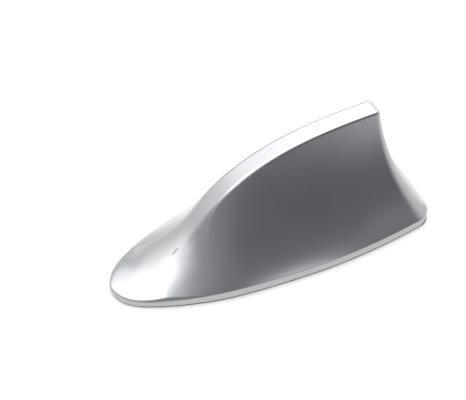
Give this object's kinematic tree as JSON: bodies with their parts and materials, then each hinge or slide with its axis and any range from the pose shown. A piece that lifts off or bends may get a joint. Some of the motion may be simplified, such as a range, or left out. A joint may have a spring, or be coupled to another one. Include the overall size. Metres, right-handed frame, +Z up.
{
  "type": "shark fin aerial",
  "caption": "Fin-shaped car roof aerial: a silver painted cover with a flat spine and flared skirt over a base that holds an amplifier board and coil element and sticks on with foam tape.",
  "frame": {"origin": "middle of the underside, on the plane of the foam tape that meets the roof", "axes": "+X from the nose to the tail, +Y towards the car's right-hand side with the nose forward, +Z up from the roof"},
  "size_m": [0.155, 0.0622, 0.0638],
  "materials": {
    "silver_paint": "moulded plastic in silver metallic paint, satin gloss",
    "black_plastic": "fine spark-eroded texture",
    "seal_rubber": "soft moulded rubber",
    "foam_tape": "closed-cell foam tape",
    "zinc_steel": "bright zinc plate",
    "board_laminate": "glass laminate under green solder mask",
    "tinned_steel": "tin plate",
    "chip_plastic": "moulded epoxy",
    "ferrite": "dark ferrite with tinned ends",
    "tan_ceramic": "tan ceramic with tinned ends",
    "dark_ceramic": "dark glaze with tinned ends",
    "plated_brass": "thin gold-coloured plate",
    "bronze": "spring bronze",
    "copper_wire": "lacquered copper",
    "white_plastic": "natural white moulding",
    "grey_plastic": "dark grey moulding"
  },
  "bodies": {
    "root": {"cover": "silver_paint", "base_plate": "black_plastic", "rim_seal": "seal_rubber", "adhesive_ring": "foam_tape", "cover_screws": "zinc_steel", "amplifier_board": "board_laminate", "board_screws": "zinc_steel", "shield_can": "tinned_steel", "amplifier_chip": "chip_plastic", "chip_inductors": "ferrite", "chip_capacitors": "tan_ceramic", "chip_resistors": "dark_ceramic", "lead_socket": "plated_brass", "lead_grommet": "seal_rubber", "feed_spring": "bronze", "loading_coil": "copper_wire", "coil_former": "white_plastic", "coil_foot": "plated_brass", "top_plate": "tinned_steel", "element_frame": "grey_plastic", "frame_screws": "zinc_steel"}
  },
  "joints": []
}
